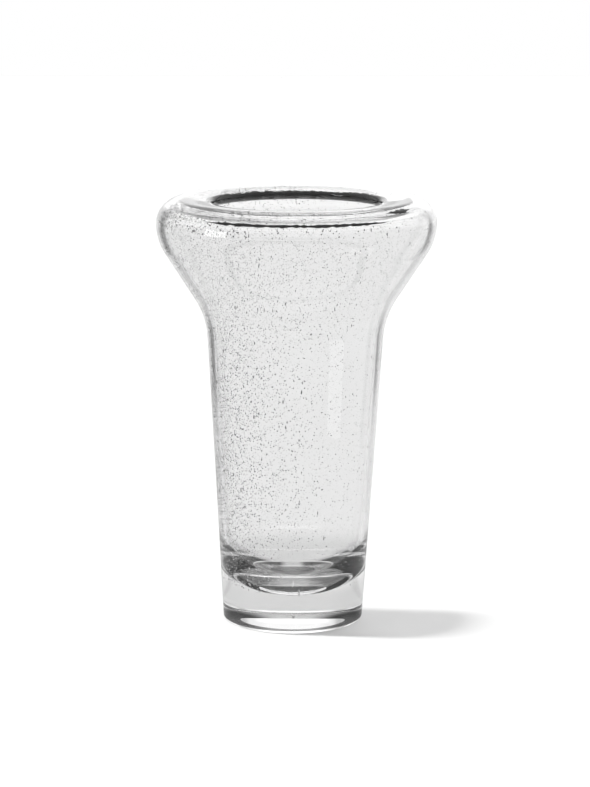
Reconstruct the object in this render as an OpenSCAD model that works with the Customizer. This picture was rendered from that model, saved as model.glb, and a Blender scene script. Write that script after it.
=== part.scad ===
// Vase of clear blown glass. A slim body widens slowly to a flared shoulder, and the thick rim is
// rolled over and in to the mouth. It is three bodies of glass fused hot, face to face: a solid
// clear foot, the bubbled bowl that sits in it, and the ring of the rim on the bowl's widest line.

/* [Outline] */
// Height of the vase
vase_h = 250; // [200:1:320]
// Width across the rolled rim
rim_d = 162.4; // [144:0.2:184]
// Width of the foot, where the line of the body wall meets the table
foot_d = 81.8; // [70:0.2:96]
// Lean of the body wall, in degrees from upright
body_lean = 3.5; // [1:0.1:6]
// Lean of the shoulder wall, in degrees from upright
shoulder_lean = 33; // [24:1:42]
// Radius of the flare between the body and the shoulder
flare_r = 50; // [30:1:70]
// Radius of the shoulder where it turns upright under the rim
belly_r = 32; // [24:1:40]

/* [Wall] */
// Thickness of the body wall
body_wall = 4.3; // [3:0.1:6]
// Thickness of the glass at the shoulder and round the roll of the rim
roll_wall = 4.5; // [3.5:0.1:6.5]

/* [Rim] */
// Outer radius of the roll
roll_r = 14.2; // [11:0.1:18]
// Width of the mouth
mouth_d = 98; // [84:0.5:110]
// Thickness of the rounded lip
lip_t = 6; // [4.5:0.1:7.5]
// Drop of the lip's top below the crest of the roll
lip_drop = 1.4; // [0.6:0.05:4]

/* [Floor] */
// Height of the inside floor above the table
floor_h = 18.2; // [15:0.1:21]
// Thickness of the bowl's own glass under the middle of the floor
floor_t = 6; // [4:0.5:9]
// Radius of the dished floor
dish_r = 110; // [90:1:140]
// Distance from the axis of the line that the inside corner's round is centred on, at the table
corner_offset = 1; // [0.2:0.1:6]

/* [Foot] */
// Height of the joint between the foot and the bowl, seen from outside
foot_h = 20; // [18:0.5:26]
// Radius of the rounded edge that meets the table
edge_r = 2.5; // [1.5:0.1:5]
// Width of the polished hollow underneath
hollow_d = 40; // [20:1:56]
// Depth of the polished hollow
hollow_depth = 0.9; // [0.5:0.1:4]

/* [Hidden] */

// Smoothness: angle of one step along an arc, and sides of a full turn
arc_step = 4;
turn_sides = 180;

// Tints of the glass
clear_tint = [0.90, 0.92, 0.92, 0.45];
seeded_tint = [0.80, 0.82, 0.82, 0.55];
rim_tint = [0.95, 0.96, 0.96, 0.45];

// A point at an angle round a centre
function polar(centre, r, angle) = centre + r * [cos(angle), sin(angle)];

// Points along an arc, both ends included
function arc_points(centre, r, from, to) =
    let (steps = ceil(abs(to - from) / arc_step))
    [for (i = [0 : steps]) polar(centre, r, from + (to - from) * i / steps)];

// The same list without its first point, to join it to one that ends there
function after_first(points) = [for (i = [1 : len(points) - 1]) points[i]];
function backwards(points) = [for (i = [len(points) - 1 : -1 : 0]) points[i]];

// Unit vectors along a wall that leans outwards, and square to it on its outer side
function along(lean) = [sin(lean), cos(lean)];
function square_out(lean) = [cos(lean), -sin(lean)];

// Where the line through p at one lean meets the line through q at another
function crossing(p, p_lean, q, q_lean) =
    p + along(p_lean) * ((q - p) * square_out(q_lean)) / (along(p_lean) * square_out(q_lean));

// Centre of an arc that fills the bend from a body line to a shoulder line
function flare_centre(corner, r) =
    let (tangent = r * tan((shoulder_lean - body_lean) / 2))
    corner - tangent * along(body_lean) + r * square_out(body_lean);

// Outline: the widest line is level with the centres of the roll and of the shoulder's turn
widest_z = vase_h - roll_r;
rim_r = rim_d / 2;
foot_r = foot_d / 2;
belly_centre = [rim_r - belly_r, widest_z];
roll_centre = [rim_r - roll_r, widest_z];
function body_r(z) = foot_r + z * tan(body_lean);

outer_corner = crossing([foot_r, 0], body_lean,
                        polar(belly_centre, belly_r, -shoulder_lean), shoulder_lean);
outer_flare_centre = flare_centre(outer_corner, flare_r);

// Inside of the wall: the same lines, set in by the thickness of the glass
inner_foot_r = foot_r - body_wall / cos(body_lean);
inner_belly_r = belly_r - roll_wall;
inner_roll_r = roll_r - roll_wall;
inner_flare_r = flare_r + body_wall;
inner_corner = crossing([inner_foot_r, 0], body_lean,
                        polar(belly_centre, inner_belly_r, -shoulder_lean), shoulder_lean);
inner_flare_centre = flare_centre(inner_corner, inner_flare_r);

// Floor: the corner arc touches the inside wall line and the dish of the floor
dish_centre = [0, floor_h + dish_r];
corner_r = (inner_foot_r - corner_offset) * cos(body_lean);
corner_start = [corner_offset, 0];
corner_reach = (dish_centre - corner_start) * along(body_lean);
corner_gap = norm(dish_centre - corner_start);
corner_chord = sqrt(pow(dish_r - corner_r, 2) - pow(corner_gap, 2) + pow(corner_reach, 2));
corner_centre = corner_start + (corner_reach - corner_chord) * along(body_lean);
corner_from_dish = corner_centre - dish_centre;
dish_edge_angle = atan2(corner_from_dish.y, corner_from_dish.x);

// Seat: a shallow cup in the top of the foot that carries the bowl
seat_z = floor_h - floor_t;
seat_edge_r = body_r(foot_h);
seat_depth = foot_h - seat_z;
seat_r = (pow(seat_edge_r, 2) + pow(seat_depth, 2)) / (2 * seat_depth);
seat_points = arc_points([0, seat_z + seat_r], seat_r, -90, asin(seat_edge_r / seat_r) - 90);

// Underside: rounded edge, flat ring and polished hollow
edge_centre = [body_r(edge_r) - edge_r / cos(body_lean), edge_r];
hollow_r = hollow_d / 2;
hollow_arc_r = (pow(hollow_r, 2) + pow(hollow_depth, 2)) / (2 * hollow_depth);
hollow_points = arc_points([0, hollow_depth - hollow_arc_r], hollow_arc_r,
                           90, 90 - asin(hollow_r / hollow_arc_r));

// Lip: a round edge inside the arc that falls from the crest to the mouth
lip_r = lip_t / 2;
lip_centre = [mouth_d / 2 + lip_r, vase_h - lip_drop - lip_r];
crown_run = roll_centre.x - lip_centre.x;
crown_fall = vase_h - lip_centre.y;
crown_r = (pow(crown_run, 2) + pow(crown_fall, 2) - pow(lip_r, 2)) / (2 * (crown_fall - lip_r));
crown_centre = [roll_centre.x, vase_h - crown_r];
crown_angle = 90 + asin(crown_run / (crown_r - lip_r));

// Ceiling: the straight underside of the roll touches the lip above it and the cavity below it
ceiling = lip_centre - roll_centre;
ceiling_angle = atan2(ceiling.y, ceiling.x) - acos((lip_r + inner_roll_r) / norm(ceiling));

// Body of glass turned from half its section
module turned(points) {
    rotate_extrude($fn = turn_sides) polygon(points);
}

// Solid foot: the cup of the seat on top, a polished hollow under it
module clear_foot() {
    color(clear_tint)
    turned(concat(
        hollow_points,
        arc_points(edge_centre, edge_r, -90, -body_lean),
        backwards(seat_points)
    ));
}

// Bubbled bowl: the floor, the body wall, the flare and the shoulder up to the widest line
module seeded_bowl() {
    color(seeded_tint)
    turned(concat(
        seat_points,
        arc_points(outer_flare_centre, flare_r, 180 - body_lean, 180 - shoulder_lean),
        arc_points(belly_centre, belly_r, -shoulder_lean, 0),
        arc_points(belly_centre, inner_belly_r, 0, -shoulder_lean),
        arc_points(inner_flare_centre, inner_flare_r, 180 - shoulder_lean, 180 - body_lean),
        arc_points(corner_centre, corner_r, -body_lean, dish_edge_angle),
        after_first(arc_points(dish_centre, dish_r, dish_edge_angle, -90))
    ));
}

// Rolled rim: over the crest, in to the round lip and back along the ceiling of the roll
module rolled_rim() {
    color(rim_tint)
    turned(concat(
        arc_points(roll_centre, roll_r, 0, 90),
        after_first(arc_points(crown_centre, crown_r, 90, crown_angle)),
        after_first(arc_points(lip_centre, lip_r, crown_angle, ceiling_angle + 180)),
        arc_points(roll_centre, inner_roll_r, ceiling_angle, 0)
    ));
}

clear_foot();
seeded_bowl();
rolled_rim();
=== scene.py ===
import math
import random

import bpy
import numpy as np
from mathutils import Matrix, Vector


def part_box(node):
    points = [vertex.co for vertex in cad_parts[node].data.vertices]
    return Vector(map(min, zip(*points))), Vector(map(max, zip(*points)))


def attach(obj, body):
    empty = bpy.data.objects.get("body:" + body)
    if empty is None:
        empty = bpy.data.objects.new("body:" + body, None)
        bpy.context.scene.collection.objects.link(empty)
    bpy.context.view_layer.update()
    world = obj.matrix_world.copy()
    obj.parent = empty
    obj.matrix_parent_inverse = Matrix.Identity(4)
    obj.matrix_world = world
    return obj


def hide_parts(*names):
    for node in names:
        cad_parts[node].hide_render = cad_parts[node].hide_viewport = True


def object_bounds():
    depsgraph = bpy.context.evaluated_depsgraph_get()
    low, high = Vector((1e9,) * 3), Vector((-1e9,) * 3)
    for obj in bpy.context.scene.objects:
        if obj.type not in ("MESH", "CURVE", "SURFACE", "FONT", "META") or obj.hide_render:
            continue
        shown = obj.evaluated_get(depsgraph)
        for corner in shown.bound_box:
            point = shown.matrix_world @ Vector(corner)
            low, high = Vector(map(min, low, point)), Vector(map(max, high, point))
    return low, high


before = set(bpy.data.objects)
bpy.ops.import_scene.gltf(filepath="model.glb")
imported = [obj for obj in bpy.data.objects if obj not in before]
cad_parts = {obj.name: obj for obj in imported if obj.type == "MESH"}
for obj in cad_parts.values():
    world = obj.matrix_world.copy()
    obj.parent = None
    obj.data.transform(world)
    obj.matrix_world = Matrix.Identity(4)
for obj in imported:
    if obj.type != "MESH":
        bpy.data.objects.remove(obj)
CAD_LOW, CAD_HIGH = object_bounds()
FOOT_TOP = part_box("clear_foot")[1]
BOWL_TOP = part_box("seeded_bowl")[1]

bl_info = {
    "name": "Bubble Glass Vase",
    "version": (1, 0, 0),
    "blender": (4, 5, 0),
    "location": "3D View > Sidebar > Vase",
    "description": "Blown bubble-glass vase with a rolled rim, and the pale table that it stands on",
    "category": "Add Mesh",
}

MM = 0.001
DEG = math.radians(1)
BODY = "root"

# Smoothness of the turned glass: slices of a full turn, and the longest step along an arc or a line
TURN_SLICES = 256
ARC_STEP = 4 * DEG
LINE_STEP = 4 * MM
# An arc that is longer than its steps by no more than this share of one gets no further step
ROUNDING = 1e-6
# Points closer than this are one point
WELD = 0.002 * MM
# A point closer than this to a fused joint lies on it
JOINT_REACH = 10 * WELD
# Edges sharper than this stay sharp, which are the rims of the fused joints
CREASE = 40 * DEG

# Lattice that bends the true section to a blown one: its points across and up, its random start, the lean
# of the top to the right, and how far a point of it wanders
CAGE_ACROSS, CAGE_LEVELS, CAGE_SEED = 4, 6, 3
LEAN = 2.4 * MM
WANDER = 0.5 * MM

# Seeds, the air bubbles in the glass: the least glass between one and the surface, and the lowest height
SEED_SKIN, SEED_FLOOR = 0.15 * MM, 24 * MM
# Places tried at a time for each seed wanted, and a power that makes large seeds rarer than small ones
SEED_TRIES, SEED_RARITY = 4, 3
# Height over width of a seed, the same of one that is drawn out long, and the share of seeds that are long
SEED_TALL, SEED_LONG, SEED_LONG_SHARE = 1.15, 4.0, 0.02
# Up from the first height to the second, seeds spread out round the vase by up to this share, and shrink to
# this size. In the rim they crowd to the left again, and are larger than in the bowl
SEED_EVEN, SEED_EVEN_SHARE = (150 * MM, 215 * MM), 0.5
SEED_TOP_SIZE, SEED_RIM_SIZE = 0.75, 1.3
# In the bowl's inside corner, below this height, one seed in so many is kept, larger by this much
CORNER_TOP, SPARK_STEP, SPARK_SIZE = 46 * MM, 5, 1.5

# Threads of air that were shut in the rim when it was rolled: where each runs, as an angle up round the roll.
# One more, the channel, runs in the middle of the lip
THREAD_ANGLES = {"fold_thread": 36 * DEG, "crest_thread": 72 * DEG, "blister": 62 * DEG}
# Each one's greatest width, the side of the vase where it has that, how far from there it starts to taper
# and ends to, in degrees, and the share of the width that is left beyond
THREADS = {
    "fold_thread": (2.1 * MM, -90, 31, 42, 0.02),
    "crest_thread": (0.7 * MM, -90, 20, 50, 0.02),
    "blister": (3.8 * MM, -38, 3, 9, 0.02),
    "lip_channel": (3.4 * MM, 90, 75, 120, 0.05),
}
# Beads of a thread: how many to a turn, the least share of the width that one has, and how far they drift.
# Then the slices of a thread's full turn, and its sides
BEADS, BEAD_THIN, BEAD_DRIFT = 240, 0.45, 0.08 * MM
THREAD_SLICES, THREAD_SIDES = 900, 9

# Refraction of the glass, the slow ripple of its blown surface, and the share of the lamps' light that
# passes each face. The foot casts a shadow, which fades towards its back between two depths
GLASS_IOR = 1.51
RIPPLE_SPAN, RIPPLE_DEPTH, RIPPLE_STRENGTH = 26 * MM, 0.5 * MM, 0.25
FOOT_PASS, BOWL_PASS = 0.3, 1.0
SHADE_BACK = (8 * MM, 26 * MM)
# Tones of the air, in this order: painted shade that darkens the seeds, the clear white of the seeds in the
# corner, and darker painted shade on the threads
SEED_PAINTED_SHADE, SPARK_TONE, THREAD_PAINTED_SHADE = "#909090", "#ffffff", "#404040"

# Camera: where it stands, how far it looks down, its lens and sensor in millimetres, and how far it sees
CAMERA_PLACE, CAMERA_TILT = (1.4 * MM, -1.628, 0.449), 10.93 * DEG
CAMERA_LENS, CAMERA_SENSOR, CAMERA_REACH = 129.55, 36, 100
# Light goes in and out of thick glass many times before it reaches the camera
BOUNCES = 28

# Room round the vase, as the glass sees it. Every pair of angles is where a change starts and ends.
# The walls are bright, and the ceiling is dimmer
ROOM_LIGHT, CEILING_LIGHT, ROOM_TOP = 1.02, 0.3, (60 * DEG, 80 * DEG)
# Straight behind the vase the wall is brighter, out to an angle from there
BACK_LIGHT, BACK_REACH = 1.22, (12 * DEG, 26 * DEG)
# There it has a lit window low down, and a little more light high up
WINDOW_LIGHT, WINDOW_FOOT, WINDOW_TOP = 0.6, (3 * DEG, 6 * DEG), (15 * DEG, 18 * DEG)
HIGH_LIGHT, HIGH_START = 0.1, (26 * DEG, 34 * DEG)
# A dim card stands behind the vase at each side, and the left one starts nearer to straight behind
CARD_START, CARD_END, LEFT_REACH = (27 * DEG, 34 * DEG), (36 * DEG, 43 * DEG), 3 * DEG
# Share of the light that a card takes in the room, and the painted shade of the cards on the table close by,
# further off and far away, with the distances between which that changes
ROOM_CARD = 0.45
PAINTED_NEAR_CARD_SHADE, PAINTED_MIDDLE_CARD_SHADE, PAINTED_FAR_CARD_SHADE = 0.2, 0.25, 0.8
CARD_MIDDLE, CARD_FAR = (120 * MM, 400 * MM), (0.48, 0.72)

# Table: its size, and the painted shade in its colour where the glass sees it, under the foot, close by,
# further off and far away, with the distances from the axis between which they change
TABLE_SIZE = 8.0
PAINTED_UNDER_SHADE, PAINTED_NEAR_SHADE, PAINTED_MIDDLE_SHADE, PAINTED_FAR_SHADE = 0.03, 0.60, 0.735, 0.87
UNDER_FOOT, NEAR_TABLE, FAR_TABLE = (37.5 * MM, 41.5 * MM), (90 * MM, 160 * MM), (1.5, 2.2)
# In front of the vase the near table has no painted shade, from one angle to the other
FRONT_SIDE = (95 * DEG, 130 * DEG)
# Painted light: the table glows close in front of the foot, in place of light that the glass gathers there
PAINTED_FRONT_GLOW, FRONT_REACH = 1.1, (46 * MM, 64 * MM)
# Painted light: a pool of light painted on the table under the foot, in place of light from behind that the
# foot
# gathers: the pool's brightness, where it ends at the sides, its painted shade under the hollow, and where
# the hollow ends
PAINTED_POOL_LIGHT, POOL_REACH = 0.68, (8 * MM, 24 * MM)
PAINTED_HOLLOW_SHADE, UNDER_HOLLOW = 0.25, (17 * MM, 21 * MM)

# Key lamp, low at the left: its shadow falls to the right
KEY_PLACE, KEY_LIGHT, KEY_WIDTH = (-1.9, 0.2, 0.55), 9.6, 9 * DEG
# Soft lamps that the glass reflects: a strip low at the front right, and a patch at the left
STRIP_PLACE, STRIP_AIM = (0.254, -0.195, 0.07), (0.0227, -0.0425, 0.12)
STRIP_SIZE, STRIP_LIGHT = (0.11, 0.085), 0.024
PATCH_PLACE, PATCH_AIM = (-0.296, -0.16, 0.271), (-0.045, -0.067, 0.238)
PATCH_SIZE, PATCH_LIGHT = (0.11, 0.1), 0.16


def to_linear(hex_colour):
    """Turns an sRGB hex colour to linear RGBA."""
    parts = [int(hex_colour[i : i + 2], 16) / 255 for i in (1, 3, 5)]
    return [p / 12.92 if p <= 0.04045 else ((p + 0.055) / 1.055) ** 2.4 for p in parts] + [1.0]


def size(name, description, millimetres, low, high):
    """A length that a user can change, given in millimetres."""
    return bpy.props.FloatProperty(
        name=name, description=description, default=millimetres * MM, min=low * MM, max=high * MM,
        unit="LENGTH", precision=4)


def lean_angle(name, description, degrees, low, high):
    """A lean from upright that a user can change, given in degrees."""
    return bpy.props.FloatProperty(
        name=name, description=description, default=math.radians(degrees),
        min=math.radians(low), max=math.radians(high), subtype="ANGLE")


class VASE_PG_shape(bpy.types.PropertyGroup):
    """Sizes of the vase's section. The frame gives the height, the widths and the height of the foot."""
    body_lean: lean_angle("Body lean", "Lean of the body wall from upright", 3.5, 1, 6)
    shoulder_lean: lean_angle("Shoulder lean", "Lean of the shoulder wall from upright", 33, 24, 42)
    flare_r: size("Flare radius", "Radius of the flare between body and shoulder", 50, 30, 70)
    belly_r: size("Shoulder radius", "Radius where the shoulder turns upright under the rim", 32, 24, 40)
    body_wall: size("Body wall", "Thickness of the body wall", 4.3, 3, 6)
    roll_wall: size("Rim wall", "Thickness of the glass at the shoulder and round the roll", 4.5, 3.5, 6.5)
    mouth_d: size("Mouth", "Width of the mouth", 98, 84, 110)
    lip_t: size("Lip", "Thickness of the rounded lip", 6, 4.5, 7.5)
    lip_drop: size("Lip drop", "Drop of the lip's top below the crest of the roll", 1.4, 0.6, 4)
    floor_h: size("Floor height", "Height of the inside floor above the table", 18.2, 15, 21)
    floor_t: size("Floor glass", "Thickness of the bowl's own glass under the floor", 6, 4, 9)
    dish_r: size("Floor dish", "Radius of the dished floor", 110, 90, 140)
    corner_offset: size(
        "Inside corner",
        "Distance from the axis, at the table, of the line that the corner's arc is centred on",
        1, 0.2, 6)
    edge_r: size("Foot edge", "Radius of the rounded edge that meets the table", 2.5, 1.5, 5)
    hollow_d: size("Hollow width", "Width of the polished hollow underneath", 40, 20, 56)
    hollow_depth: size("Hollow depth", "Depth of the polished hollow underneath", 0.9, 0.5, 4)


class VASE_PG_seeds(bpy.types.PropertyGroup):
    """The air bubbles, called seeds, that the glass of the bowl and the rim is full of."""
    bowl_count: bpy.props.IntProperty(
        name="Bowl seeds", description="Number of seeds in each cloud of the bowl",
        default=9000, min=1, max=9800)
    bowl_clouds: bpy.props.IntProperty(
        name="Bowl clouds", description="Number of clouds of seeds in the bowl", default=3, min=1, max=6)
    rim_count: bpy.props.IntProperty(
        name="Rim seeds", description="Number of seeds in the rim", default=6000, min=1, max=9000)
    smallest: size("Smallest seed", "Width of the smallest seeds", 0.25, 0.1, 1)
    largest: size("Largest seed", "Width of the largest seeds", 0.75, 0.5, 3)
    crowding: bpy.props.FloatProperty(
        name="Crowding", description="How far the seeds crowd to the left side of the vase",
        default=3.0, min=0, max=6)
    shuffle: bpy.props.IntProperty(
        name="Shuffle", description="Number that picks another arrangement of seeds", default=11, min=0)


class VASE_PG_finish(bpy.types.PropertyGroup):
    """Colours of the glass and of the stage."""
    glass_tint: bpy.props.StringProperty(
        name="Glass tint", description="Colour of the clear glass, as an sRGB hex value", default="#ffffff")
    table_tone: bpy.props.StringProperty(
        name="Table tone", description="Colour of the table, as an sRGB hex value", default="#d8d8d8")


def polar(centre, r, angle):
    """The point at an angle round a centre, as (radius, height)."""
    return (centre[0] + r * math.cos(angle), centre[1] + r * math.sin(angle))


def arc(centre, r, start, end):
    """Points along an arc, both ends included."""
    steps = max(1, math.ceil(abs(end - start) / ARC_STEP - ROUNDING))
    return [polar(centre, r, start + (end - start) * i / steps) for i in range(steps + 1)]


def line(start, end):
    """Points along a straight line, without its ends."""
    steps = max(1, math.ceil(math.dist(start, end) / LINE_STEP))
    return [tuple(a + (b - a) * i / steps for a, b in zip(start, end)) for i in range(1, steps)]


def joined(*runs):
    """One chain of points: the runs one after another, with a straight line where two don't meet."""
    chain = list(runs[0])
    for run in runs[1:]:
        if math.dist(chain[-1], run[0]) > WELD:
            chain += line(chain[-1], run[0]) + list(run)
        else:
            chain += run[1:]
    return chain


def along(lean):
    """Unit vector up a wall that leans outwards."""
    return (math.sin(lean), math.cos(lean))


def square_out(lean):
    """Unit vector square to a leaning wall, on its outer side."""
    return (math.cos(lean), -math.sin(lean))


def dot(a, b):
    """Dot product of two (radius, height) vectors."""
    return a[0] * b[0] + a[1] * b[1]


def crossing(p, p_lean, q, q_lean):
    """Where the line through p at one lean meets the line through q at another."""
    offset = (q[0] - p[0], q[1] - p[1])
    run = dot(offset, square_out(q_lean)) / dot(along(p_lean), square_out(q_lean))
    return (p[0] + along(p_lean)[0] * run, p[1] + along(p_lean)[1] * run)


def flare_centre(corner, r, shape):
    """Centre of the arc that fills the bend from a body line to a shoulder line."""
    tangent = r * math.tan((shape.shoulder_lean - shape.body_lean) / 2)
    up, out = along(shape.body_lean), square_out(shape.body_lean)
    return (corner[0] - tangent * up[0] + r * out[0], corner[1] - tangent * up[1] + r * out[1])


def vase_runs(shape):
    """The arcs of the section, named, as lists of (radius, height) points, and the points of the threads."""
    up, level, down = math.pi / 2, 0.0, -math.pi / 2
    lean, shoulder = shape.body_lean, shape.shoulder_lean
    vase_h, rim_r = CAD_HIGH.z, CAD_HIGH.x
    widest_z, foot_h = BOWL_TOP.z, FOOT_TOP.z
    roll_r = vase_h - widest_z
    foot_r = FOOT_TOP.x - foot_h * math.tan(lean)

    belly = (rim_r - shape.belly_r, widest_z)
    roll = (rim_r - roll_r, widest_z)
    inner_belly_r = shape.belly_r - shape.roll_wall
    inner_roll_r = roll_r - shape.roll_wall
    inner_foot_r = foot_r - shape.body_wall / math.cos(lean)
    inner_flare_r = shape.flare_r + shape.body_wall
    outer_bend = crossing((foot_r, 0), lean, polar(belly, shape.belly_r, -shoulder), shoulder)
    inner_bend = crossing((inner_foot_r, 0), lean, polar(belly, inner_belly_r, -shoulder), shoulder)
    outer_flare = flare_centre(outer_bend, shape.flare_r, shape)
    inner_flare = flare_centre(inner_bend, inner_flare_r, shape)

    dish = (0.0, shape.floor_h + shape.dish_r)
    corner_r = (inner_foot_r - shape.corner_offset) * math.cos(lean)
    start = (shape.corner_offset, 0.0)
    to_dish = (dish[0] - start[0], dish[1] - start[1])
    reach = dot(to_dish, along(lean))
    chord = math.sqrt((shape.dish_r - corner_r) ** 2 - dot(to_dish, to_dish) + reach ** 2)
    corner = tuple(s + (reach - chord) * a for s, a in zip(start, along(lean)))
    dish_edge = math.atan2(corner[1] - dish[1], corner[0] - dish[0])

    seat_z = shape.floor_h - shape.floor_t
    seat_edge = (foot_r + foot_h * math.tan(lean), foot_h)
    seat_depth = foot_h - seat_z
    seat_r = (seat_edge[0] ** 2 + seat_depth ** 2) / (2 * seat_depth)
    seat_end = math.asin(seat_edge[0] / seat_r) + down

    edge_r = shape.edge_r
    edge = (foot_r + edge_r * math.tan(lean) - edge_r / math.cos(lean), edge_r)
    hollow_w = shape.hollow_d / 2
    hollow_r = (hollow_w ** 2 + shape.hollow_depth ** 2) / (2 * shape.hollow_depth)

    lip_r = shape.lip_t / 2
    lip = (shape.mouth_d / 2 + lip_r, vase_h - shape.lip_drop - lip_r)
    run, fall = roll[0] - lip[0], vase_h - lip[1]
    crown_r = (run ** 2 + fall ** 2 - lip_r ** 2) / (2 * (fall - lip_r))
    crown_end = up + math.asin(run / (crown_r - lip_r))
    to_lip = (lip[0] - roll[0], lip[1] - roll[1])
    ceiling = math.atan2(to_lip[1], to_lip[0]) - math.acos((lip_r + inner_roll_r) / math.hypot(*to_lip))

    wall_middle = roll_r - shape.roll_wall / 2
    threads = {name: polar(roll, wall_middle, angle) for name, angle in THREAD_ANGLES.items()}
    threads["lip_channel"] = lip

    return {
        "hollow": arc((0, shape.hollow_depth - hollow_r), hollow_r, up, up - math.asin(hollow_w / hollow_r)),
        "edge": arc(edge, edge_r, down, -lean),
        "seat": arc((0, seat_z + seat_r), seat_r, down, seat_end),
        "outer_flare": arc(outer_flare, shape.flare_r, math.pi - lean, math.pi - shoulder),
        "outer_belly": arc(belly, shape.belly_r, -shoulder, level),
        "inner_belly": arc(belly, inner_belly_r, level, -shoulder),
        "inner_flare": arc(inner_flare, inner_flare_r, math.pi - shoulder, math.pi - lean),
        "corner": arc(corner, corner_r, -lean, dish_edge),
        "dish": arc(dish, shape.dish_r, dish_edge, down),
        "roll": arc(roll, roll_r, level, up),
        "crown": arc((roll[0], vase_h - crown_r), crown_r, up, crown_end),
        "lip": arc(lip, lip_r, crown_end, ceiling + math.pi),
        "inner_roll": arc(roll, inner_roll_r, ceiling, level),
        "threads": threads,
    }


def bowl_section(runs):
    """Outline of the bowl's glass, from the axis up the outside and down the inside to the axis."""
    return joined(runs["seat"], runs["outer_flare"], runs["outer_belly"], runs["inner_belly"],
                  runs["inner_flare"], runs["corner"], runs["dish"])


def rim_section(runs):
    """Outline of the rim's glass, over the crest to the lip and back along the ceiling of the roll."""
    return joined(runs["roll"], runs["crown"], runs["lip"], runs["inner_roll"])


def inside(places, outline):
    """Which of these (radius, height) places lie inside a closed outline, as a mask."""
    odd = np.zeros(len(places), bool)
    for (r0, z0), (r1, z1) in zip(outline, outline[1:] + outline[:1]):
        if z0 != z1:
            crosses = (places[:, 1] > min(z0, z1)) & (places[:, 1] <= max(z0, z1))
            odd ^= crosses & (places[:, 0] < r0 + (r1 - r0) * (places[:, 1] - z0) / (z1 - z0))
    return odd


def clearance(places, outline):
    """How far each place lies from the outline."""
    best = np.full(len(places), np.inf)
    for start, end in zip(np.array(outline), np.array(outline[1:] + outline[:1])):
        run = end - start
        share = np.clip((places - start) @ run / max(run @ run, WELD ** 2), 0, 1)
        best = np.minimum(best, np.hypot(*(places - start - share[:, None] * run).T))
    return best


def seed_places(outline, count, seeds, picker):
    """Picks places for seeds in the glass inside an outline: evenly through the glass, but crowded towards
    the left of the vase. Gives one row for each seed: x, y, z, half width, half height."""
    rows = []
    heights = (*SEED_EVEN, BOWL_TOP.z, BOWL_TOP.z + MM)
    low, high = np.min(outline, axis=0), np.max(outline, axis=0)
    while len(rows) < count:
        shares = picker.random((SEED_TRIES * count, 6))
        flat = np.column_stack([np.sqrt(low[0] ** 2 + shares[:, 0] * (high[0] ** 2 - low[0] ** 2)),
                                low[1] + shares[:, 1] * (high[1] - low[1])])
        turn = 2 * math.pi * shares[:, 2]
        half = (seeds.smallest + (seeds.largest - seeds.smallest) * shares[:, 3] ** SEED_RARITY) / 2
        half *= np.interp(flat[:, 1], heights, (1, SEED_TOP_SIZE, SEED_TOP_SIZE, SEED_RIM_SIZE))
        tall = half * np.where(shares[:, 4] < SEED_LONG_SHARE, SEED_LONG, SEED_TALL)
        even = np.interp(flat[:, 1], heights, (0, SEED_EVEN_SHARE, SEED_EVEN_SHARE, 0))
        crowd = np.exp(-seeds.crowding * (1 - even) * (1 + np.cos(turn)) / 2)
        kept = inside(flat, outline) & (shares[:, 5] < crowd) & (flat[:, 1] > SEED_FLOOR)
        flat, turn, half, tall = flat[kept], turn[kept], half[kept], tall[kept]
        clear = clearance(flat, outline) > half + SEED_SKIN
        r, z = flat[clear].T
        rows += np.column_stack(
            [r * np.cos(turn[clear]), r * np.sin(turn[clear]), z, half[clear], tall[clear]]).tolist()
    return rows[:count]


def air_thread(name, ring, picker):
    """Models a thread of air, like a string of beads, along a ring in the rim, given as (radius, height)."""
    width, side, start, end, least = THREADS[name]
    circle = [polar(ring, width / 2, 2 * math.pi * i / THREAD_SIDES) for i in range(THREAD_SIDES + 1)]
    thread = turned(name, circle, ring=True, slices=THREAD_SLICES)
    corners = np.array([v.co for v in thread.data.vertices])
    turn = np.arctan2(corners[:, 1], corners[:, 0])
    outward = np.column_stack([np.cos(turn), np.sin(turn), np.zeros(len(turn))])
    centres = ring[0] * outward + (0, 0, ring[1])
    from_side = np.degrees(np.arccos(np.cos(turn - math.radians(side))))
    knots = np.linspace(-math.pi, math.pi, BEADS, endpoint=False)
    share = np.interp(turn, knots, picker.uniform(BEAD_THIN, 1, BEADS), period=2 * math.pi)
    share *= np.interp(from_side, (start, end), (1, least))
    sway = np.interp(turn, knots, picker.normal(0, BEAD_DRIFT, BEADS), period=2 * math.pi)
    lift = np.interp(turn, knots, picker.normal(0, BEAD_DRIFT, BEADS), period=2 * math.pi)
    shift = sway[:, None] * outward + lift[:, None] * np.array((0, 0, 1))
    corners = centres + (corners - centres) * share[:, None] + shift
    thread.data.vertices.foreach_set("co", corners.ravel())
    return thread


def seed_cloud(name, rows):
    """Models one seed as a small round form, and copies it to the place of every row, in one mesh."""
    start_fresh()
    bpy.ops.mesh.primitive_ico_sphere_add(subdivisions=1, radius=1, location=(0, 0, 0))
    cloud = bpy.context.object
    round_form = np.array([v.co for v in cloud.data.vertices])
    faces = np.array([p.vertices for p in cloud.data.polygons])
    rows = np.array(rows)
    corners = rows[:, None, :3] + round_form * rows[:, None, [3, 3, 4]]
    loops = faces + len(round_form) * np.arange(len(rows))[:, None, None]
    cloud.data.clear_geometry()
    cloud.data.from_pydata(corners.reshape(-1, 3), [], loops.reshape(-1, 3).tolist())
    cloud.name = cloud.data.name = name
    return cloud


def start_fresh():
    """Leaves edit mode and deselects everything, so that the next operator acts on its own piece only."""
    if bpy.context.object and bpy.context.object.mode != "OBJECT":
        bpy.ops.object.mode_set(mode="OBJECT")
    bpy.ops.object.select_all(action="DESELECT")


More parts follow.
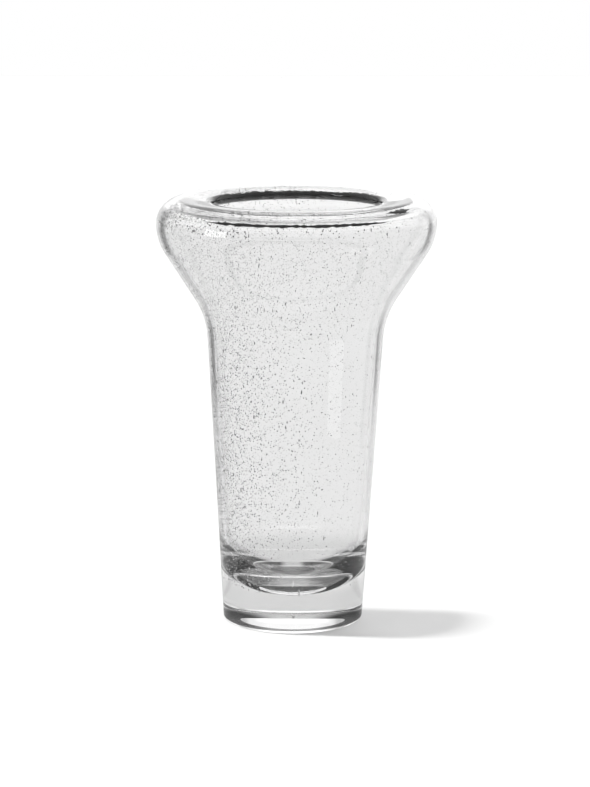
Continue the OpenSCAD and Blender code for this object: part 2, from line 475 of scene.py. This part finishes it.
def turned(name, chain, ring=False, slices=TURN_SLICES):
    """Draws a section point by point with extrude, and spins it once round the vase's axis.
    A ring's section is a closed loop. Any other section starts and ends on the axis."""
    start_fresh()
    bpy.ops.mesh.primitive_plane_add(size=MM, location=(0, 0, 0))
    piece = bpy.context.object
    piece.name = piece.data.name = name
    bpy.ops.object.mode_set(mode="EDIT")
    bpy.ops.mesh.select_all(action="SELECT")
    bpy.ops.mesh.merge(type="CENTER")
    bpy.ops.transform.translate(value=(chain[0][0], 0, chain[0][1]))
    for before, after in zip(chain, chain[1:]):
        step = (after[0] - before[0], 0, after[1] - before[1])
        bpy.ops.mesh.extrude_vertices_move(TRANSFORM_OT_translate={"value": step})
    bpy.ops.mesh.select_all(action="SELECT")
    if ring:
        bpy.ops.mesh.remove_doubles(threshold=WELD)
    bpy.ops.mesh.spin(steps=slices, angle=2 * math.pi, center=(0, 0, 0), axis=(0, 0, 1))
    bpy.ops.mesh.select_all(action="SELECT")
    bpy.ops.mesh.remove_doubles(threshold=WELD)
    bpy.ops.mesh.normals_make_consistent(inside=False)
    bpy.ops.object.mode_set(mode="OBJECT")
    return piece


def is_fused(points, runs):
    """True if all these points of a face lie on a fused joint: the seat under the bowl, or the rim's ring."""
    seat_low, seat_edge = runs["seat"][0][1], runs["seat"][-1]
    seat_r = (seat_edge[0] ** 2 + (seat_edge[1] - seat_low) ** 2) / (2 * (seat_edge[1] - seat_low))
    on_seat = all(
        abs(math.hypot(p.x, p.y, p.z - seat_low - seat_r) - seat_r) < JOINT_REACH for p in points)
    on_ring = all(abs(p.z - BOWL_TOP.z) < JOINT_REACH for p in points)
    return on_seat or on_ring


def hand_blown(piece):
    """Gives a piece the lean and the slow wander that blown work has, by a lattice round the whole vase.
    The foot stays true, and the wander grows up to half the height."""
    start_fresh()
    bpy.ops.object.add(type="LATTICE", location=(0, 0, CAD_HIGH.z / 2))
    cage = bpy.context.object
    cage.scale = (2 * CAD_HIGH.x, 2 * CAD_HIGH.x, CAD_HIGH.z)
    cage.data.points_u = cage.data.points_v = CAGE_ACROSS
    cage.data.points_w = CAGE_LEVELS
    cage.data.interpolation_type_w = "KEY_LINEAR"
    wander = random.Random(CAGE_SEED)
    for index, point in enumerate(cage.data.points):
        level = index // CAGE_ACROSS ** 2 / (CAGE_LEVELS - 1)
        drift = WANDER * min(1, 2 * level)
        shift = (LEAN * level + wander.uniform(-drift, drift), wander.uniform(-drift, drift), 0)
        point.co_deform = point.co + Vector(a / b for a, b in zip(shift, cage.scale))
    start_fresh()
    piece.select_set(True)
    bpy.context.view_layer.objects.active = piece
    bpy.ops.object.modifier_add(type="LATTICE")
    piece.modifiers[-1].object = cage
    bpy.ops.object.modifier_apply(modifier=piece.modifiers[-1].name)
    bpy.data.objects.remove(cage)


def finish_glass(piece, node, glass):
    """Bends and smooths a piece, gives it its glass, and gives its fused faces the finish of a joint."""
    runs = vase_runs(bpy.context.scene.vase_shape)
    for material in (glass, fused_joint()):
        piece.data.materials.append(material)
    corners = piece.data.vertices
    for face in piece.data.polygons:
        face.material_index = int(is_fused([corners[i].co for i in face.vertices], runs))
    hand_blown(piece)
    bpy.ops.object.shade_smooth_by_angle(angle=CREASE)
    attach(piece, BODY)
    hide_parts(node)


def add_node(tree, kind, sockets=None, **fields):
    """Adds one node and sets its fields. Each input socket named gets a plain value, or a link."""
    node = tree.nodes.new(kind)
    for name, value in fields.items():
        setattr(node, name, value)
    for key, value in (sockets or {}).items():
        if isinstance(value, bpy.types.NodeSocket):
            tree.links.new(value, node.inputs[key])
        else:
            node.inputs[key].default_value = value
    return node


def maths(tree, operation, *values):
    """The result of one sum on sockets and plain numbers."""
    return add_node(tree, "ShaderNodeMath", dict(enumerate(values)), operation=operation).outputs[0]


def fade(tree, value, start, end, low, high):
    """A smooth change from low to high while a value goes from start to end."""
    limits = {"Value": value, "From Min": start, "From Max": end, "To Min": low, "To Max": high}
    return add_node(tree, "ShaderNodeMapRange", limits, interpolation_type="SMOOTHSTEP").outputs[0]


def new_material(name):
    """An empty node material."""
    material = bpy.data.materials.new(name)
    material.use_nodes = True
    material.node_tree.nodes.clear()
    return material


def pass_lamps(tree, surface, share):
    """Ends a glass shader: rays see the surface, and this share of the lamps' light passes each face."""
    shade = add_node(tree, "ShaderNodeCombineColor", {0: share, 1: share, 2: share}).outputs[0]
    clear = add_node(tree, "ShaderNodeBsdfTransparent", {"Color": shade})
    shadow = add_node(tree, "ShaderNodeLightPath").outputs["Is Shadow Ray"]
    mix = add_node(tree, "ShaderNodeMixShader", {0: shadow, 1: surface, 2: clear.outputs[0]})
    add_node(tree, "ShaderNodeOutputMaterial", {0: mix.outputs[0]})


def blown_glass(name, lamp_share):
    """Clear soda-lime glass, blown and fire-polished: no grain at all, sharp reflections at 4% head on, and
    a surface that is never quite true, so reflections waver."""
    material = new_material(name)
    tree = material.node_tree
    tint = to_linear(bpy.context.scene.vase_finish.glass_tint)
    place = add_node(tree, "ShaderNodeTexCoord").outputs["Object"]
    ripple = add_node(tree, "ShaderNodeTexNoise", {"Vector": place, "Scale": 1 / RIPPLE_SPAN, "Detail": 1.0})
    bump = add_node(tree, "ShaderNodeBump", {
        "Height": ripple.outputs[0], "Strength": RIPPLE_STRENGTH, "Distance": RIPPLE_DEPTH})
    glass = add_node(tree, "ShaderNodeBsdfPrincipled", {
        "Base Color": tint, "Roughness": 0.0, "IOR": GLASS_IOR, "Transmission Weight": 1.0,
        "Normal": bump.outputs[0]})
    depth = add_node(tree, "ShaderNodeSeparateXYZ", {0: place}).outputs[1]
    pass_lamps(tree, glass.outputs[0], fade(tree, depth, *SHADE_BACK, lamp_share, 1))
    return material


def fused_joint():
    """Where two gathers of hot glass were fused nothing is left to see, so light goes straight through."""
    material = new_material("fused_glass_joint")
    tree = material.node_tree
    clear = add_node(tree, "ShaderNodeBsdfTransparent", {"Color": [1, 1, 1, 1]})
    add_node(tree, "ShaderNodeOutputMaterial", {0: clear.outputs[0]})
    return material


def air_bubble(name, tone):
    """The smooth wall of air that is shut in glass. Its IOR is the inverse of the glass's, so that all but
    the middle of a bubble turns light away and looks dark, and it casts no shadow. A tone other than white
    darkens it further, as painted shade."""
    material = new_material(name)
    tree = material.node_tree
    wall = add_node(tree, "ShaderNodeBsdfGlass", {
        "Color": to_linear(tone), "Roughness": 0.0, "IOR": 1 / GLASS_IOR})
    pass_lamps(tree, wall.outputs[0], 1.0)
    return material


def round_axis(tree, place):
    """Distance from the vase's axis, and angle round it from straight behind the vase, to either side."""
    parts = add_node(tree, "ShaderNodeSeparateXYZ", {0: place}).outputs
    flat = add_node(tree, "ShaderNodeCombineXYZ", {0: parts[0], 1: parts[1]}).outputs[0]
    distance = add_node(tree, "ShaderNodeVectorMath", {0: flat}, operation="LENGTH").outputs["Value"]
    return distance, maths(tree, "ARCTAN2", maths(tree, "ABSOLUTE", parts[0]), parts[1])


def past_cards(tree, place, angle, depth):
    """The share of light that comes from this angle, past the dim cards behind the vase at both sides: light
    in the room, but painted shade where the table uses it.
    """
    left = maths(tree, "LESS_THAN", add_node(tree, "ShaderNodeSeparateXYZ", {0: place}).outputs[0], 0.0)
    reached = maths(tree, "MULTIPLY_ADD", left, LEFT_REACH, angle)
    card = maths(tree, "MULTIPLY", fade(tree, reached, *CARD_START, 0, 1), fade(tree, angle, *CARD_END, 1, 0))
    return maths(tree, "SUBTRACT", 1.0, maths(tree, "MULTIPLY", card, depth))


def table_laminate(tone):
    """Matt white laminate, which has no grain or gloss to see. The camera sees it white. In the glass its
    colour
    holds painted light and shade: painted shade under the foot, but for a painted pool of light, painted
    shade close by that lightens far away, the cards' painted shade at the sides, and a painted glow close in
    front of the foot."""
    material = new_material("matt_white_laminate_painted_light")
    tree = material.node_tree
    place = add_node(tree, "ShaderNodeTexCoord").outputs["Object"]
    distance, angle = round_axis(tree, place)
    parts = add_node(tree, "ShaderNodeSeparateXYZ", {0: place}).outputs
    # The painted pool of light is half as wide behind the axis as in front of it
    behind = maths(tree, "ADD", 1.0, maths(tree, "GREATER_THAN", parts[1], 0.0))
    aside = maths(tree, "MULTIPLY", maths(tree, "ABSOLUTE", parts[0]), behind)
    pool = maths(tree, "MULTIPLY", fade(tree, aside, *POOL_REACH, PAINTED_POOL_LIGHT, PAINTED_UNDER_SHADE),
                 fade(tree, distance, *UNDER_HOLLOW, PAINTED_HOLLOW_SHADE, 1))
    # Painted shade on the table close by, which is lifted in front of the vase and lightens far away
    front = fade(tree, angle, *FRONT_SIDE, 0, 1)
    middle = fade(tree, distance, *FAR_TABLE, PAINTED_MIDDLE_SHADE, PAINTED_FAR_SHADE)
    near = fade(tree, distance, *NEAR_TABLE, fade(tree, front, 0, 1, PAINTED_NEAR_SHADE, 1), middle)
    near_card = fade(tree, distance, *CARD_MIDDLE, PAINTED_NEAR_CARD_SHADE, PAINTED_MIDDLE_CARD_SHADE)
    depth = fade(tree, distance, *CARD_FAR, near_card, PAINTED_FAR_CARD_SHADE)
    # Painted shade of the cards, times the painted light and shade above
    seen = maths(tree, "MULTIPLY", past_cards(tree, place, angle, depth),
                 fade(tree, distance, *UNDER_FOOT, pool, near))
    straight = add_node(tree, "ShaderNodeLightPath").outputs["Is Camera Ray"]
    share = maths(tree, "MAXIMUM", seen, straight)
    # Sockets 6 and 7 are the two colours of a colour mix
    colour = add_node(tree, "ShaderNodeMix", {0: share, 6: [0, 0, 0, 1], 7: tone}, data_type="RGBA")
    matt = add_node(tree, "ShaderNodeBsdfDiffuse", {"Color": colour.outputs[2]})
    # Painted light: a glow on the table close in front of the foot, which only the glass sees
    painted_glow = maths(tree, "MULTIPLY", front, fade(tree, distance, *FRONT_REACH, PAINTED_FRONT_GLOW, 0))
    painted_glow = maths(tree, "MULTIPLY", painted_glow, fade(tree, distance, *UNDER_FOOT, 0, 1))
    painted_glow = maths(tree, "MULTIPLY", painted_glow, maths(tree, "SUBTRACT", 1.0, straight))
    lift = add_node(tree, "ShaderNodeEmission", {"Strength": painted_glow})
    both = add_node(tree, "ShaderNodeAddShader", {0: matt.outputs[0], 1: lift.outputs[0]})
    add_node(tree, "ShaderNodeOutputMaterial", {0: both.outputs[0]})
    return material


def pale_studio():
    """Surroundings of a glass picture: a bright room with a dimmer ceiling, a wall behind with a lit window,
    and at each side of it a dim card, which draws the vase's edges. The camera itself sees plain white."""
    world = bpy.data.worlds.new("pale_studio")
    world.use_nodes = True
    tree = world.node_tree
    tree.nodes.clear()
    direction = add_node(tree, "ShaderNodeTexCoord").outputs["Generated"]
    height = maths(tree, "ARCSINE", add_node(tree, "ShaderNodeSeparateXYZ", {0: direction}).outputs[2])
    angle = round_axis(tree, direction)[1]
    window = maths(tree, "MULTIPLY", fade(tree, height, *WINDOW_FOOT, 0, WINDOW_LIGHT),
                   fade(tree, height, *WINDOW_TOP, 1, 0))
    back = maths(tree, "ADD", window, fade(tree, height, *HIGH_START, BACK_LIGHT, BACK_LIGHT + HIGH_LIGHT))
    walls = fade(tree, height, *ROOM_TOP, fade(tree, angle, *BACK_REACH, back, ROOM_LIGHT), CEILING_LIGHT)
    past = past_cards(tree, direction, angle, ROOM_CARD)
    room = add_node(tree, "ShaderNodeBackground", {1: maths(tree, "MULTIPLY", walls, past)})
    backdrop = add_node(tree, "ShaderNodeBackground", {0: [1, 1, 1, 1], 1: 1.0})
    ray = add_node(tree, "ShaderNodeLightPath")
    mix = add_node(tree, "ShaderNodeMixShader", {
        0: ray.outputs["Is Camera Ray"], 1: room.outputs[0], 2: backdrop.outputs[0]})
    add_node(tree, "ShaderNodeOutputWorld", {0: mix.outputs[0]})
    return world


def add_lamp(name, kind, place, aim, energy, **fields):
    """Adds a lamp at a place, turned to the point that it is aimed at. It shows in no view but as a
    reflection, so it never stands behind the glass."""
    start_fresh()
    bpy.ops.object.light_add(type=kind, location=place)
    lamp = bpy.context.object
    lamp.name = lamp.data.name = name
    lamp.data.energy = energy
    for field, value in fields.items():
        setattr(lamp.data, field, value)
    lamp.rotation_euler = (Vector(aim) - Vector(place)).to_track_quat("-Z", "Y").to_euler()
    lamp.visible_camera = lamp.visible_transmission = False
    return lamp


class VASE_OT_clear_foot(bpy.types.Operator):
    """Turns the solid clear foot"""
    bl_idname = "vase.clear_foot"
    bl_label = "Clear foot"

    def execute(self, context):
        runs = vase_runs(context.scene.vase_shape)
        piece = turned("clear_foot_glass", joined(runs["hollow"], runs["edge"], runs["seat"][::-1]))
        finish_glass(piece, "clear_foot", blown_glass("clear_soda_lime_glass", FOOT_PASS))
        return {"FINISHED"}


class VASE_OT_seeded_bowl(bpy.types.Operator):
    """Turns the bowl of bubbled glass"""
    bl_idname = "vase.seeded_bowl"
    bl_label = "Seeded bowl"

    def execute(self, context):
        piece = turned("seeded_bowl_glass", bowl_section(vase_runs(context.scene.vase_shape)))
        finish_glass(piece, "seeded_bowl", blown_glass("seeded_soda_lime_glass", BOWL_PASS))
        return {"FINISHED"}


class VASE_OT_rolled_rim(bpy.types.Operator):
    """Turns the hollow rolled rim"""
    bl_idname = "vase.rolled_rim"
    bl_label = "Rolled rim"

    def execute(self, context):
        runs = vase_runs(context.scene.vase_shape)
        piece = turned("rolled_rim_glass", joined(rim_section(runs), runs["roll"][:1]), ring=True)
        finish_glass(piece, "rolled_rim", blown_glass("rim_soda_lime_glass", BOWL_PASS))
        return {"FINISHED"}


class VASE_OT_seeds(bpy.types.Operator):
    """Scatters the seeds through the glass of the bowl and the rim, and lays the threads of air in the rim"""
    bl_idname = "vase.seeds"
    bl_label = "Seeds"

    def execute(self, context):
        seeds = context.scene.vase_seeds
        runs = vase_runs(context.scene.vase_shape)
        picker = np.random.default_rng(seeds.shuffle)
        bowl, rim = bowl_section(runs), rim_section(runs)
        # The seeds and the threads get painted shade in their tones, while the seeds in the corner stay clear
        air = air_bubble("air_bubble_in_glass", SEED_PAINTED_SHADE)
        spark = air_bubble("bright_air_bubble_in_glass", SPARK_TONE)
        channel = air_bubble("air_channel_in_glass_painted_dark", THREAD_PAINTED_SHADE)
        pieces = [(seed_cloud("rim_seeds", seed_places(rim, seeds.rim_count, seeds, picker)), air)]
        in_corner = []
        for i in range(seeds.bowl_clouds):
            rows = np.array(seed_places(bowl, seeds.bowl_count, seeds, picker))
            is_low = rows[:, 2] < CORNER_TOP
            in_corner.append(rows[is_low][::SPARK_STEP] * (1, 1, 1, SPARK_SIZE, SPARK_SIZE))
            pieces.append((seed_cloud(f"bowl_seeds_{i + 1}", rows[~is_low]), air))
        pieces.append((seed_cloud("corner_seeds", np.concatenate(in_corner)), spark))
        pieces += [(air_thread(name, ring, picker), channel) for name, ring in runs["threads"].items()]
        for piece, material in pieces:
            piece.data.materials.append(material)
            hand_blown(piece)
            bpy.ops.object.shade_smooth()
            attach(piece, BODY)
        return {"FINISHED"}


class VASE_OT_stage(bpy.types.Operator):
    """Adds the camera, the pale table, the lamps and the surroundings"""
    bl_idname = "vase.stage"
    bl_label = "Stage"

    def execute(self, context):
        start_fresh()
        scene = context.scene
        bpy.ops.object.camera_add(location=CAMERA_PLACE, rotation=(math.pi / 2 - CAMERA_TILT, 0, 0))
        camera = context.object
        camera.data.sensor_width = CAMERA_SENSOR
        camera.data.lens = CAMERA_LENS
        camera.data.clip_end = CAMERA_REACH
        scene.camera = camera
        scene.view_settings.view_transform = "Standard"
        scene.cycles.max_bounces = scene.cycles.transparent_max_bounces = BOUNCES
        scene.cycles.transmission_bounces = scene.cycles.glossy_bounces = BOUNCES

        start_fresh()
        bpy.ops.mesh.primitive_plane_add(size=TABLE_SIZE, location=(0, 0, 0))
        table = context.object
        table.name = table.data.name = "table"
        table.data.materials.append(table_laminate(to_linear(scene.vase_finish.table_tone)))
        scene.world = pale_studio()

        key = add_lamp("key_lamp", "SUN", KEY_PLACE, (0, 0, 0), KEY_LIGHT, angle=KEY_WIDTH)
        # The key lamp only lights the table, and shows in no reflection
        key.visible_glossy = False
        add_lamp("strip_lamp", "AREA", STRIP_PLACE, STRIP_AIM, STRIP_LIGHT,
                 shape="RECTANGLE", size=STRIP_SIZE[0], size_y=STRIP_SIZE[1])
        add_lamp("patch_lamp", "AREA", PATCH_PLACE, PATCH_AIM, PATCH_LIGHT,
                 shape="RECTANGLE", size=PATCH_SIZE[0], size_y=PATCH_SIZE[1])
        return {"FINISHED"}


class VASE_PT_panel(bpy.types.Panel):
    """Lists the sizes and the steps that build the vase"""
    bl_idname = "VASE_PT_panel"
    bl_label = "Bubble glass vase"
    bl_space_type = "VIEW_3D"
    bl_region_type = "UI"
    bl_category = "Vase"

    def draw(self, context):
        scene = context.scene
        for group in (scene.vase_shape, scene.vase_seeds, scene.vase_finish):
            box = self.layout.box()
            for name in group.__annotations__:
                box.prop(group, name)
        for operator in OPERATORS:
            self.layout.operator(operator.bl_idname)


GROUPS = {"vase_shape": VASE_PG_shape, "vase_seeds": VASE_PG_seeds, "vase_finish": VASE_PG_finish}
OPERATORS = (VASE_OT_clear_foot, VASE_OT_seeded_bowl, VASE_OT_rolled_rim, VASE_OT_seeds, VASE_OT_stage)


def register():
    for name, group in GROUPS.items():
        bpy.utils.register_class(group)
        setattr(bpy.types.Scene, name, bpy.props.PointerProperty(type=group))
    for cls in (*OPERATORS, VASE_PT_panel):
        bpy.utils.register_class(cls)


def unregister():
    for cls in (VASE_PT_panel, *reversed(OPERATORS)):
        bpy.utils.unregister_class(cls)
    for name, group in reversed(GROUPS.items()):
        delattr(bpy.types.Scene, name)
        bpy.utils.unregister_class(group)


def main():
    """Builds the vase and its stage."""
    register()
    bpy.ops.vase.clear_foot()
    bpy.ops.vase.seeded_bowl()
    bpy.ops.vase.rolled_rim()
    bpy.ops.vase.seeds()
    bpy.ops.vase.stage()


if __name__ == "__main__":
    main()
